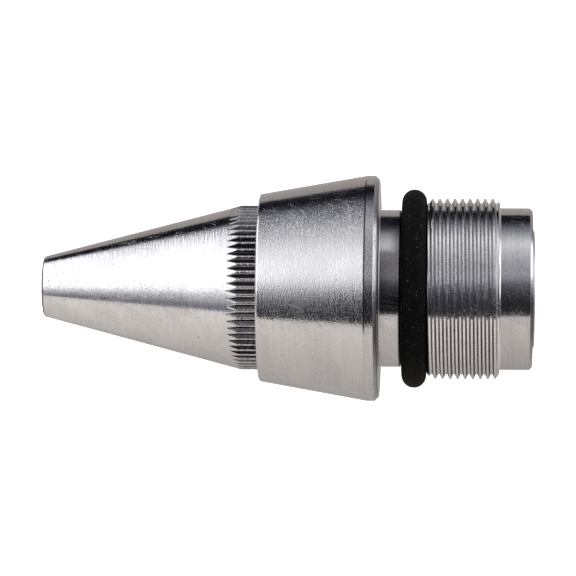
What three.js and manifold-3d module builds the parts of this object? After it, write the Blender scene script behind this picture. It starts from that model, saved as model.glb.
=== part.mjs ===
// Screw-in live centre: a threaded housing that carries a blunt rotating nose cone on two
// deep-groove ball bearings and one ball thrust bearing.
// Units are millimetres. The spindle axis is X: the nose points to -X and the rear end to +X.
// The origin is on the axis, in the plane of the shoulder that seats against the holder.
import * as THREE from "three";
import Module from "manifold-3d";

const wasm = await Module();
wasm.setup();

// ---------------------------------------------------------------- driving dimensions
// Housing, outside
const BOSS_END_X = 20.4; // rear face of the boss
const BOSS_R = 10.75;
const BOSS_EDGE = 0.45; // chamfer round the rear face
const THREAD_X0 = 6.5; // M24 x 1 right-hand thread
const THREAD_X1 = 16.1;
const THREAD_PITCH = 1.0;
const THREAD_MAJOR_R = 12.0;
const THREAD_ROOT_R = 11.39;
const NECK_R = 10.44;
const ORING_X = 4.7;
const ORING_CENTRE_R = 11.5;
const ORING_SECTION_R = 1.69;
const ORING_GROOVE_R = 9.75;
const ORING_GROOVE_HALF = 1.75;
const COLLAR_RIM = 0.35; // edge round at the shoulder
const LAND_R = 15.0; // cylindrical land behind the collar's cone
const LAND_X0 = -1.6;
const COLLAR_FRONT_X = -15.8;
const COLLAR_FRONT_R = 12.5;
const COLLAR_FRONT_EDGE = 0.3;
// Housing, bores
const RECESS_R = 11.2; // clearance recess for the nose cone's skirt
const RECESS_X = -15.0;
const FRONT_BORE_R = 11.05;
const FRONT_BORE_END_X = -4.2;
const RING_GROOVE_R = 11.55;
const RING_GROOVE_X0 = -12.7;
const RING_GROOVE_X1 = -11.5;
const THRUST_BORE_R = 8.05;
const THRUST_BORE_END_X = 2.8;
const WAIST_BORE_R = 4.3;
const REAR_BORE_X = 8.0;
const REAR_BORE_R = 8.05;
const BORE_MOUTH = 0.2; // lead-in chamfer
// Nose cone
const TIP_X = -44.65;
const TIP_R = 4.02;
const TIP_EDGE = 0.12;
const SKIRT_X0 = -18.2; // cone meets the knurled skirt
const SKIRT_X1 = -15.2; // rear face of the cone
const CONE_R = 10.95;
const KNURL_TEETH = 66;
const KNURL_CREST_R = 10.97;
const KNURL_ROOT_R = 10.52;
const KNURL_RUNOUT_X = -19.6; // the grooves run out on the cone here
const STUD_BORE_R = 4.1;
const STUD_BORE_X = -26.0;
const COUNTERBORE_R = 5.6;
const COUNTERBORE_X = -16.15;
// Spindle
const STUD_R = 4.0;
const STUD_X = -25.0;
const FLANGE_R = 5.5;
const FLANGE_X0 = -16.05;
const FLANGE_X1 = -11.4;
const JOURNAL_R = 3.95;
const TAIL_X0 = 8.0;
const TAIL_R = 2.45;
const TAIL_X1 = 17.4;
// Front bearing, 8 x 22 x 7
const FB = { x: -7.8, width: 7, bore: 4.0, outer: 11.0, pitch: 7.5, ball: 3.969 / 2, balls: 7, shoulderIn: 6.05, shoulderOut: 8.95, raceIn: 5.42, raceOut: 9.58, race: 1.5, raceFlat: 0.8, cageIn: 6.9, cageOut: 8.1, cageHalf: 2.7, pocket: 2.2 };
// Rear bearing, 5 x 16 x 5
const RB = { x: 10.6, width: 5, bore: 2.5, outer: 8.0, pitch: 5.25, ball: 3.175 / 2, balls: 7, shoulderIn: 4.15, shoulderOut: 6.35, raceIn: 3.57, raceOut: 6.93, race: 1.3, raceFlat: 0.65, cageIn: 4.75, cageOut: 5.75, cageHalf: 2.15, pocket: 1.76 };
// Thrust bearing, 8 x 16 x 5
const TB = { x: 0.2, height: 5, washer: 1.4, pitch: 6.0, ball: 2.381 / 2, balls: 9, shaftBore: 4.02, shaftOuter: 7.75, housingBore: 4.25, housingOuter: 8.0, cageIn: 4.35, cageOut: 7.65, cageHalf: 0.55, pocket: 1.35, grooveHalf: 1.1, grooveFlat: 0.5, grooveDepth: 0.2 };
// Small parts
const SPACER = { x0: -4.2, x1: -2.4, in: 4.02, out: 5.4 };
const SEAL = { x0: -14.9, x1: -12.9, out: 10.95, lip: 5.62 };
const RETAINING = { x0: -12.6, x1: -11.6, out: 11.45, in: 9.3, lugIn: 7.5, gap: 0.2, lug: 0.24, hole: 0.6 };
const WAVE = { x: 13.65, thickness: 0.3, amplitude: 0.2, waves: 3, in: 6.0, out: 7.8 };
const LOCK_WASHER = { x0: 13.2, x1: 13.75, in: 2.55, out: 4.3 };
const LOCK_NUT = { x0: 13.85, x1: 16.55, in: 2.55, flats: 8.0 };
const PLUG = { x0: 14.2, x1: 20.65, out: 8.0, face: 7.68, chamfer: 0.32, skirtIn: 5.6, cavityX: 18.0, spannerR: 5.2, spannerHole: 1.0, spannerDepth: 1.5 };

const FINE = 48; // facets round the large outer surfaces
const ROUND = 28; // facets round the inner pieces

// ---------------------------------------------------------------- materials
const steel = (color, roughness) => new THREE.MeshStandardMaterial({ color, roughness, metalness: 1 });
const MATERIAL = {
  housing: steel(0xb8b6b2, 0.34),
  cone: steel(0xc4c3c1, 0.28),
  plug: steel(0xaeaca8, 0.38),
  spindle: steel(0x9fa0a2, 0.3),
  bearing: steel(0xd2d4d6, 0.14),
  cage: new THREE.MeshStandardMaterial({ color: 0xb08d4a, roughness: 0.4, metalness: 1 }),
  spring: steel(0x5c6066, 0.35),
  fastener: steel(0x8c8f92, 0.4),
  rubber: new THREE.MeshStandardMaterial({ color: 0x0d0e0e, roughness: 0.55, metalness: 0 }),
};

// ---------------------------------------------------------------- builders
// Turned piece: a section of [x, r] points, from axis to axis or round a closed loop.
function turned(section, facets = ROUND) {
  const loop = section[0][1] > 0 || section[section.length - 1][1] > 0;
  const pts = loop ? [...section, section[0]] : section.slice();
  let area = 0;
  pts.forEach(([x, r], i) => {
    const [x2, r2] = pts[(i + 1) % pts.length];
    area += x * r2 - x2 * r;
  });
  if (area > 0) pts.reverse();
  const g = new THREE.LatheGeometry(pts.map(([x, r]) => new THREE.Vector2(r, x)), facets);
  g.rotateZ(-Math.PI / 2);
  return g;
}

// Ruled skin round the axis: each ring gives [x, r] for a column, and columns run from 0 to facets.
// A ring that winds like a thread meets another ring where the last column closes on the first.
function skin(rings, facets, loop) {
  const positions = [], index = [], seen = new Map();
  const vertex = (ring, i) => {
    const [x, r] = ring(i), a = ((i % facets) / facets) * 2 * Math.PI;
    const p = [x, r * Math.cos(a), r * Math.sin(a)];
    const key = p.map((v) => Math.round(v * 1e5) + 0).join();
    if (!seen.has(key)) {
      seen.set(key, positions.length / 3);
      positions.push(...p);
    }
    return seen.get(key);
  };
  const tri = (a, b, c) => {
    if (a !== b && b !== c && c !== a) index.push(a, b, c);
  };
  const last = loop ? rings.length : rings.length - 1;
  for (let j = 0; j < last; j++)
    for (let i = 0; i < facets; i++) {
      const a = rings[j], b = rings[(j + 1) % rings.length];
      const p = vertex(a, i), q = vertex(a, i + 1), s = vertex(b, i + 1), t = vertex(b, i);
      tri(p, q, s);
      tri(p, s, t);
    }
  const g = new THREE.BufferGeometry();
  g.setAttribute("position", new THREE.Float32BufferAttribute(positions, 3));
  g.setIndex(index);
  let volume = 0;
  const v = (k) => new THREE.Vector3().fromArray(positions, 3 * k);
  for (let k = 0; k < index.length; k += 3) volume += v(index[k]).dot(v(index[k + 1]).cross(v(index[k + 2])));
  if (volume < 0) {
    for (let k = 0; k < index.length; k += 3) [index[k + 1], index[k + 2]] = [index[k + 2], index[k + 1]];
    g.setIndex(index);
  }
  g.computeVertexNormals();
  return g;
}
const ring = (x, r) => () => [x, r];

// Solid for cutting, from any closed geometry: vertices are merged by position.
function solid(geometry) {
  const g = geometry.index ? geometry.toNonIndexed() : geometry;
  const p = g.getAttribute("position"), vert = [], tris = [], seen = new Map();
  const ids = [];
  for (let i = 0; i < p.count; i++) {
    const c = [p.getX(i), p.getY(i), p.getZ(i)];
    const key = c.map((v) => Math.round(v * 1e4) + 0).join();
    if (!seen.has(key)) {
      seen.set(key, vert.length / 3);
      vert.push(...c);
    }
    ids.push(seen.get(key));
  }
  for (let i = 0; i < ids.length; i += 3) {
    const [a, b, c] = ids.slice(i, i + 3);
    if (a !== b && b !== c && c !== a) tris.push(a, b, c);
  }
  return new wasm.Manifold(new wasm.Mesh({ numProp: 3, vertProperties: new Float32Array(vert), triVerts: new Uint32Array(tris) }));
}
function geometryOf(manifold) {
  const m = manifold.getMesh(), n = m.numProp, v = new Float32Array(m.numVert * 3);
  for (let i = 0; i < m.numVert; i++) v.set(m.vertProperties.subarray(i * n, i * n + 3), i * 3);
  const g = new THREE.BufferGeometry();
  g.setAttribute("position", new THREE.BufferAttribute(v, 3));
  g.setIndex(new THREE.BufferAttribute(new Uint32Array(m.triVerts), 1));
  g.computeVertexNormals();
  return g;
}

const part = new THREE.Group();
part.name = "live_center";
function add(group, name, geometry, material) {
  const mesh = new THREE.Mesh(geometry, material);
  mesh.name = name;
  group.add(mesh);
  return mesh;
}
const bodies = {};
for (const name of ["housing", "spindle", "front_cage", "thrust_cage", "rear_cage"]) {
  bodies[name] = new THREE.Group();
  part.add(bodies[name]);
}

// ---------------------------------------------------------------- housing
// The thread's crest and root lines wind round the housing once per pitch. Lines that would pass
// an end of the threaded length stop there, at the root radius, which gives the run-outs.
function threadRings() {
  const turns = (THREAD_X1 - THREAD_X0) / THREAD_PITCH, rings = [];
  for (let j = 0; j <= 2 * (turns + 2); j++)
    rings.push((i) => {
      const t = j / 2 - 1.25 + i / FINE;
      const x = THREAD_X0 + t * THREAD_PITCH;
      if (x <= THREAD_X0 + 0.05) return [THREAD_X0, THREAD_ROOT_R];
      if (x >= THREAD_X1 - 0.05) return [THREAD_X1, THREAD_ROOT_R];
      return [x, j % 2 ? THREAD_ROOT_R : THREAD_MAJOR_R];
    });
  return rings;
}
const housingRings = [
  ring(COLLAR_FRONT_X, RECESS_R),
  ring(COLLAR_FRONT_X, COLLAR_FRONT_R - COLLAR_FRONT_EDGE),
  ring(COLLAR_FRONT_X + COLLAR_FRONT_EDGE, COLLAR_FRONT_R),
  ring(LAND_X0, LAND_R),
  ring(-COLLAR_RIM, LAND_R),
  ring(0, LAND_R - COLLAR_RIM),
  ring(0, NECK_R),
  ring(ORING_X - ORING_GROOVE_HALF, NECK_R),
  ring(ORING_X - ORING_GROOVE_HALF, ORING_GROOVE_R),
  ring(ORING_X + ORING_GROOVE_HALF, ORING_GROOVE_R),
  ring(THREAD_X0, THREAD_ROOT_R),
  ...threadRings(),
  ring(THREAD_X1, BOSS_R),
  ring(BOSS_END_X - BOSS_EDGE, BOSS_R),
  ring(BOSS_END_X, BOSS_R - BOSS_EDGE),
  ring(BOSS_END_X, REAR_BORE_R + BORE_MOUTH),
  ring(BOSS_END_X - BORE_MOUTH, REAR_BORE_R),
  ring(REAR_BORE_X, REAR_BORE_R),
  ring(REAR_BORE_X, WAIST_BORE_R),
  ring(THRUST_BORE_END_X, WAIST_BORE_R),
  ring(THRUST_BORE_END_X, THRUST_BORE_R),
  ring(FRONT_BORE_END_X, THRUST_BORE_R),
  ring(FRONT_BORE_END_X, FRONT_BORE_R),
  ring(RING_GROOVE_X1, FRONT_BORE_R),
  ring(RING_GROOVE_X1, RING_GROOVE_R),
  ring(RING_GROOVE_X0, RING_GROOVE_R),
  ring(RING_GROOVE_X0, FRONT_BORE_R),
  ring(RECESS_X, FRONT_BORE_R),
  ring(RECESS_X, RECESS_R),
];
add(bodies.housing, "housing_body", skin(housingRings, FINE, true), MATERIAL.housing);

// O-ring in the relief between the neck and the thread
{
  const section = [];
  for (let k = 0; k < 8; k++) {
    const a = (k / 8) * 2 * Math.PI;
    section.push([ORING_X + ORING_SECTION_R * Math.cos(a), ORING_CENTRE_R + ORING_SECTION_R * Math.sin(a)]);
  }
  add(bodies.housing, "o_ring", turned(section, FINE), MATERIAL.rubber);
}

// Lip seal behind the nose cone
add(
  bodies.housing,
  "front_seal",
  turned([[SEAL.x0, SEAL.out], [SEAL.x0, 7.0], [-14.3, SEAL.lip], [-13.8, SEAL.lip], [-13.4, 7.4], [SEAL.x1, 7.4], [SEAL.x1, SEAL.out]]),
  MATERIAL.rubber,
);

// Internal retaining ring with two drilled lugs
{
  const R = RETAINING, shape = new THREE.Shape(), steps = 26;
  const at = (r, a) => [r * Math.cos(a), r * Math.sin(a)];
  const a0 = R.gap, a1 = 2 * Math.PI - R.gap;
  const outline = [];
  for (let k = 0; k <= steps; k++) outline.push(at(R.out, a0 + ((a1 - a0) * k) / steps));
  outline.push(at(R.lugIn, a1), at(R.lugIn, a1 - R.lug));
  for (let k = steps - 2; k >= 2; k--) outline.push(at(R.in, a0 + ((a1 - a0) * k) / steps));
  outline.push(at(R.lugIn, a0 + R.lug), at(R.lugIn, a0));
  outline.forEach(([x, y], k) => (k ? shape.lineTo(x, y) : shape.moveTo(x, y)));
  shape.closePath();
  for (const a of [a0 + R.lug / 2 + 0.01, a1 - R.lug / 2 - 0.01]) {
    const [x, y] = at(8.4, a), hole = new THREE.Path();
    hole.absarc(x, y, R.hole, 0, 2 * Math.PI, true);
    shape.holes.push(hole);
  }
  const g = new THREE.ExtrudeGeometry(shape, { depth: R.x1 - R.x0, bevelEnabled: false, curveSegments: 5 });
  g.rotateY(Math.PI / 2);
  g.translate(R.x0, 0, 0);
  add(bodies.housing, "front_retaining_ring", g, MATERIAL.spring);
}

// ---------------------------------------------------------------- ball bearings
function bearing(prefix, B, cageBody) {
  const x0 = B.x - B.width / 2, x1 = B.x + B.width / 2;
  add(
    bodies.housing,
    prefix + "_bearing_outer_ring",
    turned([[x0, B.outer], [x0, B.shoulderOut], [B.x - B.race, B.shoulderOut], [B.x - B.raceFlat, B.raceOut], [B.x + B.raceFlat, B.raceOut], [B.x + B.race, B.shoulderOut], [x1, B.shoulderOut], [x1, B.outer]]),
    MATERIAL.bearing,
  );
  add(
    bodies.spindle,
    prefix + "_bearing_inner_ring",
    turned([[x0, B.bore], [x0, B.shoulderIn], [B.x - B.race, B.shoulderIn], [B.x - B.raceFlat, B.raceIn], [B.x + B.raceFlat, B.raceIn], [B.x + B.race, B.shoulderIn], [x1, B.shoulderIn], [x1, B.bore]]),
    MATERIAL.bearing,
  );
  cageAndBalls(prefix, B, cageBody);
}
// Cage with a round pocket for each ball, drilled radially, or along the axis in the thrust bearing.
function cageAndBalls(prefix, B, cageBody, axial = false) {
  let cage = solid(turned([[B.x - B.cageHalf, B.cageIn], [B.x - B.cageHalf, B.cageOut], [B.x + B.cageHalf, B.cageOut], [B.x + B.cageHalf, B.cageIn]]));
  for (let k = 0; k < B.balls; k++) {
    const a = ((k + 0.5) / B.balls) * 2 * Math.PI;
    const centre = [B.x, B.pitch * Math.cos(a), B.pitch * Math.sin(a)];
    const pocket = new THREE.CylinderGeometry(B.pocket, B.pocket, 6, 10);
    if (axial) pocket.rotateZ(Math.PI / 2);
    pocket.rotateX(a);
    pocket.translate(...centre);
    cage = cage.subtract(solid(pocket));
    const ball = new THREE.IcosahedronGeometry(B.ball, 1);
    ball.translate(...centre);
    add(cageBody, prefix + "_bearing_ball_" + (k + 1), ball, MATERIAL.bearing);
  }
  add(cageBody, prefix + "_bearing_cage", geometryOf(cage), MATERIAL.cage);
}
bearing("front", FB, bodies.front_cage);
bearing("rear", RB, bodies.rear_cage);
cageAndBalls("thrust", TB, bodies.thrust_cage, true);

// Thrust washers, each with a raceway groove
function thrustWasher(x0, x1, grooveOn, rIn, rOut) {
  const d = grooveOn === x1 ? -TB.grooveDepth : TB.grooveDepth, f = grooveOn;
  const groove = [[f, TB.pitch - TB.grooveHalf], [f + d, TB.pitch - TB.grooveFlat], [f + d, TB.pitch + TB.grooveFlat], [f, TB.pitch + TB.grooveHalf]];
  const back = grooveOn === x1 ? x0 : x1;
  return turned([[back, rIn], [f, rIn], ...groove, [f, rOut], [back, rOut]]);
}
const TB0 = TB.x - TB.height / 2, TB1 = TB.x + TB.height / 2;
add(bodies.spindle, "thrust_shaft_washer", thrustWasher(TB0, TB0 + TB.washer, TB0 + TB.washer, TB.shaftBore, TB.shaftOuter), MATERIAL.bearing);
add(bodies.housing, "thrust_housing_washer", thrustWasher(TB1 - TB.washer, TB1, TB1 - TB.washer, TB.housingBore, TB.housingOuter), MATERIAL.bearing);

// ---------------------------------------------------------------- rear end
// Wave washer that preloads the rear bearing's outer ring
{
  const W = WAVE, wave = (i) => W.x + W.amplitude * Math.cos(((W.waves * i) / 48) * 2 * Math.PI);
  const edge = (dx, r) => (i) => [wave(i % 48) + dx, r];
  const h = W.thickness / 2;
  add(bodies.housing, "preload_wave_washer", skin([edge(-h, W.in), edge(-h, W.out), edge(h, W.out), edge(h, W.in)], 48, true), MATERIAL.spring);
}
// Screw-in end plug with two blind pin-spanner holes
{
  const P = PLUG;
  let plug = solid(
    turned([[P.cavityX, 0], [P.cavityX, P.skirtIn], [P.x0, P.skirtIn], [P.x0, P.out - 0.3], [P.x0 + 0.3, P.out], [P.x1 - P.chamfer, P.out], [P.x1, P.face], [P.x1, 0]]),
  );
  for (const side of [-1, 1]) {
    const hole = new THREE.CylinderGeometry(P.spannerHole, P.spannerHole, P.spannerDepth + 1, 16);
    hole.rotateZ(Math.PI / 2);
    hole.translate(P.x1 - P.spannerDepth + (P.spannerDepth + 1) / 2, side * P.spannerR, 0);
    plug = plug.subtract(solid(hole));
  }
  add(bodies.housing, "rear_plug", geometryOf(plug), MATERIAL.plug);
}

// ---------------------------------------------------------------- rotating nose and spindle
// The knurl's V grooves are cut round the skirt and run out to points on the cone.
{
  const columns = 2 * KNURL_TEETH;
  const coneR = (x) => TIP_R + ((CONE_R - TIP_R) * (x - TIP_X)) / (SKIRT_X0 - TIP_X);
  const knurled = (x, outer, depth) => (i) => [x, i % 2 ? outer - depth : outer];
  const depth = KNURL_CREST_R - KNURL_ROOT_R;
  const rings = [
    ring(TIP_X, 0),
    ring(TIP_X, TIP_R - TIP_EDGE),
    ring(TIP_X + TIP_EDGE, coneR(TIP_X + TIP_EDGE)),
    ring(KNURL_RUNOUT_X, coneR(KNURL_RUNOUT_X)),
    knurled(SKIRT_X0, KNURL_CREST_R, depth),
    knurled(SKIRT_X1 - 0.3, KNURL_CREST_R, depth),
    ring(SKIRT_X1, KNURL_ROOT_R - 0.1),
    ring(SKIRT_X1, COUNTERBORE_R),
    ring(COUNTERBORE_X, COUNTERBORE_R),
    ring(COUNTERBORE_X, STUD_BORE_R),
    ring(STUD_BORE_X, STUD_BORE_R),
    ring(STUD_BORE_X - 1.8, 0),
  ];
  add(bodies.spindle, "nose_cone", skin(rings, columns, false), MATERIAL.cone);
}
add(
  bodies.spindle,
  "spindle",
  turned([[STUD_X, 0], [STUD_X, STUD_R - 0.5], [STUD_X + 0.5, STUD_R], [FLANGE_X0, STUD_R], [FLANGE_X0, FLANGE_R], [FLANGE_X1, FLANGE_R], [FLANGE_X1, JOURNAL_R], [TAIL_X0, JOURNAL_R], [TAIL_X0, TAIL_R], [TAIL_X1 - 0.3, TAIL_R], [TAIL_X1, TAIL_R - 0.3], [TAIL_X1, 0]]),
  MATERIAL.spindle,
);
const tube = (P) => turned([[P.x0, P.in], [P.x0, P.out], [P.x1, P.out], [P.x1, P.in]]);
add(bodies.spindle, "spacer_sleeve", tube(SPACER), MATERIAL.fastener);
add(bodies.spindle, "lock_washer", tube(LOCK_WASHER), MATERIAL.fastener);
// Hexagon lock nut on the spindle's tail
{
  const N = LOCK_NUT, shape = new THREE.Shape(), corner = N.flats / Math.sqrt(3);
  for (let k = 0; k < 6; k++) {
    const a = (k / 6) * 2 * Math.PI;
    if (k) shape.lineTo(corner * Math.cos(a), corner * Math.sin(a));
    else shape.moveTo(corner, 0);
  }
  shape.closePath();
  const bore = new THREE.Path();
  bore.absarc(0, 0, N.in, 0, 2 * Math.PI, true);
  shape.holes.push(bore);
  const g = new THREE.ExtrudeGeometry(shape, { depth: N.x1 - N.x0, bevelEnabled: false, curveSegments: 12 });
  g.rotateY(Math.PI / 2);
  g.translate(N.x0, 0, 0);
  add(bodies.spindle, "lock_nut", g, MATERIAL.fastener);
}

export default part;
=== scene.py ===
import math

import bmesh
import bpy
import numpy as np
from mathutils import Matrix, Quaternion, Vector


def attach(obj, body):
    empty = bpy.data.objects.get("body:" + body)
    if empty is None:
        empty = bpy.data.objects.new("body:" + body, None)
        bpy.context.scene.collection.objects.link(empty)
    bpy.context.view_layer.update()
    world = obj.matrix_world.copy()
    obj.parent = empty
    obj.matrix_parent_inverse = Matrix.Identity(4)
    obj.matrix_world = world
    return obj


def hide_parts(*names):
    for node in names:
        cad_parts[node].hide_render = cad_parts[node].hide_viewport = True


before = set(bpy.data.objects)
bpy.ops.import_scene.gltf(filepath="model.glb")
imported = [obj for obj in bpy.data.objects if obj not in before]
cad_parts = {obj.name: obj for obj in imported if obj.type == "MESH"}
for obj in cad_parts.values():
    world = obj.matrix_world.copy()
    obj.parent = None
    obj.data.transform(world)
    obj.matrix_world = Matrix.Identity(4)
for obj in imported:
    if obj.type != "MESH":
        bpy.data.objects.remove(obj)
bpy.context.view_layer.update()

MM = 0.001
PI = math.pi

# ------------------------------------------------------------------ camera
ELEVATION = 33.0
AZIMUTH = 3.53
ROLL = -1.587
DISTANCE = 0.4797
AIM = Vector((-12.08 * MM, 0.0, -0.03 * MM))

a, e = math.radians(AZIMUTH), math.radians(ELEVATION)
back = Vector((math.sin(a) * math.cos(e), -math.cos(a) * math.cos(e), math.sin(e)))
camera_data = bpy.data.cameras.new("camera")
camera_data.sensor_width = 36.0
camera_data.lens = 225.0
camera_data.clip_start = 0.01
camera_data.clip_end = 20.0
camera = bpy.data.objects.new("camera", camera_data)
bpy.context.scene.collection.objects.link(camera)
camera.rotation_mode = "QUATERNION"
camera.location = AIM + back * DISTANCE
camera.rotation_quaternion = (-back).to_track_quat("-Z", "Y") @ Quaternion((0, 0, 1), math.radians(ROLL))
bpy.context.scene.camera = camera
bpy.context.scene.view_settings.view_transform = "Standard"


# ------------------------------------------------------------------ mesh builders
def mesh_from(name, verts, quads, tris):
    """A mesh from arrays of points, four-sided faces and three-sided faces, turned so that its faces point out."""
    v = np.asarray(verts, float)
    volume = 0.0
    for a_, b_, c_ in ((0, 1, 2), (0, 2, 3)):
        if len(quads):
            volume += float(np.einsum("ij,ij->", v[quads[:, a_]], np.cross(v[quads[:, b_]], v[quads[:, c_]])))
    if len(tris):
        volume += float(np.einsum("ij,ij->", v[tris[:, 0]], np.cross(v[tris[:, 1]], v[tris[:, 2]])))
    if volume < 0:
        quads, tris = quads[:, ::-1], tris[:, ::-1]
    mesh = bpy.data.meshes.new(name)
    mesh.vertices.add(len(v))
    mesh.vertices.foreach_set("co", v.ravel())
    mesh.loops.add(4 * len(quads) + 3 * len(tris))
    mesh.loops.foreach_set("vertex_index", np.concatenate([quads.ravel(), tris.ravel()]).astype(np.int32))
    mesh.polygons.add(len(quads) + len(tris))
    starts = np.concatenate([4 * np.arange(len(quads)), 4 * len(quads) + 3 * np.arange(len(tris))])
    mesh.polygons.foreach_set("loop_start", starts.astype(np.int32))
    mesh.update(calc_edges=True)
    mesh.validate()
    return mesh


def smooth(mesh, sharp):
    mesh.polygons.foreach_set("use_smooth", [True] * len(mesh.polygons))
    mesh.set_sharp_from_angle(angle=math.radians(sharp))
    mesh.update()


def link_mesh(name, grid, body, nodes, sharp=32.0):
    mesh = mesh_from(name, *grid)
    smooth(mesh, sharp)
    obj = bpy.data.objects.new(name, mesh)
    bpy.context.scene.collection.objects.link(obj)
    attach(obj, body)
    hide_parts(*nodes)
    return obj


def revolve_grid(x, r, loop, angle0=0.0):
    """Points, four-sided and three-sided faces of a skin round the X axis, from arrays x and r of rows by columns, in
    millimetres. A row whose radii are all zero becomes one point. loop closes the last row on the first."""
    rows, cols = r.shape
    theta = angle0 + np.arange(cols) * (2 * PI / cols)
    pole = [bool(np.all(r[j] < 1e-9)) for j in range(rows)]
    verts, first, count = [], [], 0
    for j in range(rows):
        first.append(count)
        row = [[x[j, 0], 0.0, 0.0]] if pole[j] else np.stack([x[j], r[j] * np.cos(theta), r[j] * np.sin(theta)], 1)
        verts.append(np.asarray(row, float) * MM)
        count += len(row)
    i = np.arange(cols)
    n = (i + 1) % cols
    quads, tris = [np.zeros((0, 4), int)], [np.zeros((0, 3), int)]
    for j in range(rows if loop else rows - 1):
        k = (j + 1) % rows
        p, q = first[j], first[k]
        if pole[j] and pole[k]:
            continue
        if pole[j]:
            tris.append(np.stack([np.full(cols, p), q + i, q + n], 1))
        elif pole[k]:
            tris.append(np.stack([p + i, np.full(cols, q), p + n], 1))
        else:
            quads.append(np.stack([p + i, q + i, q + n, p + n], 1))
    return np.concatenate(verts), np.concatenate(quads), np.concatenate(tris)


def rounded(points, loop, steps=4, support=0.05):
    """Points (x, r[, radius]) with each corner that has a radius replaced by a short arc, and support points beside it."""
    out, n = [], len(points)
    for i, p in enumerate(points):
        size = p[2] if len(p) > 2 else 0.0
        here = np.array(p[:2], float)
        if size <= 0 or (not loop and i in (0, n - 1)):
            out.append(tuple(here))
            continue
        before = np.array(points[(i - 1) % n][:2], float) - here
        after = np.array(points[(i + 1) % n][:2], float) - here
        lb, la = np.linalg.norm(before), np.linalg.norm(after)
        d = min(size, 0.45 * lb, 0.45 * la)
        s = min(support, 0.04 * lb + 0.01, 0.04 * la + 0.01)
        p0, p2 = here + before / lb * d, here + after / la * d
        out.append(tuple(here + before / lb * (d + s)))
        for k in range(steps + 1):
            t = k / steps
            out.append(tuple((1 - t) ** 2 * p0 + 2 * t * (1 - t) * here + t * t * p2))
        out.append(tuple(here + after / la * (d + s)))
    return out


def lathe(name, points, body, nodes, slot, cols=192, loop=None, steps=4, longest=None, sharp=32.0):
    """A turned piece. longest, if given, splits the profile's long straight stretches."""
    if loop is None:
        loop = points[0][1] > 0 or points[-1][1] > 0
    prof = rounded(points, loop, steps)
    if longest:
        fine = []
        for i, p in enumerate(prof):
            fine.append(p)
            if i == len(prof) - 1 and not loop:
                break
            q = prof[(i + 1) % len(prof)]
            length = math.dist(p, q)
            parts = max(1, math.ceil(length / longest))
            fine += [(p[0] + (q[0] - p[0]) * k / parts, p[1] + (q[1] - p[1]) * k / parts) for k in range(1, parts)]
        prof = fine
    prof = np.array(prof, float)
    x = np.repeat(prof[:, :1], cols, 1)
    r = np.repeat(prof[:, 1:], cols, 1)
    return link_mesh(name, revolve_grid(x, r, loop), body, nodes, sharp)


def noise1(values, seed, octaves=3, period=None):
    """Smooth repeatable noise in about -1 to 1 along a line, or round a loop of that period."""
    total, amp, norm = np.zeros_like(values, float), 1.0, 0.0
    for o in range(octaves):
        rng = np.random.default_rng(seed * 31 + o)
        table = rng.uniform(-1, 1, 4096)
        v = values * (2**o)
        i = np.floor(v).astype(int)
        f = v - i
        f = f * f * (3 - 2 * f)
        wrap = 4096 if period is None else int(period * 2**o)
        total += amp * (table[i % wrap] * (1 - f) + table[(i + 1) % wrap] * f)
        norm += amp
        amp *= 0.5
    return total / norm


# ------------------------------------------------------------------ nodes
class Graph:
    def __init__(self, tree):
        self.t = tree

    def node(self, kind, **settings):
        n = self.t.nodes.new(kind)
        for k, v in settings.items():
            setattr(n, k, v)
        return n

    def link(self, value, socket):
        if isinstance(value, bpy.types.NodeSocket):
            self.t.links.new(value, socket)
        else:
            socket.default_value = value

    def math(self, operation, a, b=None, c=None, clamp=False):
        n = self.node("ShaderNodeMath", operation=operation, use_clamp=clamp)
        for i, v in enumerate((a, b, c)):
            if v is not None:
                self.link(v, n.inputs[i])
        return n.outputs[0]

    def add(self, a, b):
        return self.math("ADD", a, b)

    def mul(self, a, b):
        return self.math("MULTIPLY", a, b)

    def combine(self, x, y, z):
        n = self.node("ShaderNodeCombineXYZ")
        for i, v in enumerate((x, y, z)):
            self.link(v, n.inputs[i])
        return n.outputs[0]

    def noise(self, vector, scale=1.0, detail=2.0, roughness=0.5, distortion=0.0):
        n = self.node("ShaderNodeTexNoise", noise_dimensions="3D")
        self.link(vector, n.inputs["Vector"])
        n.inputs["Scale"].default_value = scale
        n.inputs["Detail"].default_value = detail
        n.inputs["Roughness"].default_value = roughness
        n.inputs["Distortion"].default_value = distortion
        return n.outputs["Fac"]

    def ramp(self, value, low, high, out_low=0.0, out_high=1.0, smooth=True):
        n = self.node("ShaderNodeMapRange", interpolation_type="SMOOTHSTEP" if smooth else "LINEAR", clamp=True)
        for i, v in enumerate((value, low, high, out_low, out_high)):
            self.link(v, n.inputs[i])
        return n.outputs[0]

    def mix(self, factor, a, b, blend="MIX"):
        n = self.node("ShaderNodeMix", data_type="RGBA", blend_type=blend)
        self.link(factor, n.inputs[0])
        self.link(a, n.inputs[6])
        self.link(b, n.inputs[7])
        return n.outputs[2]


def new_material(name):
    m = bpy.data.materials.new(name)
    m.use_nodes = True
    m.node_tree.nodes.clear()
    g = Graph(m.node_tree)
    out = g.node("ShaderNodeOutputMaterial")
    bsdf = g.node("ShaderNodeBsdfPrincipled")
    g.t.links.new(bsdf.outputs[0], out.inputs[0])
    return m, g, bsdf


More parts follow.
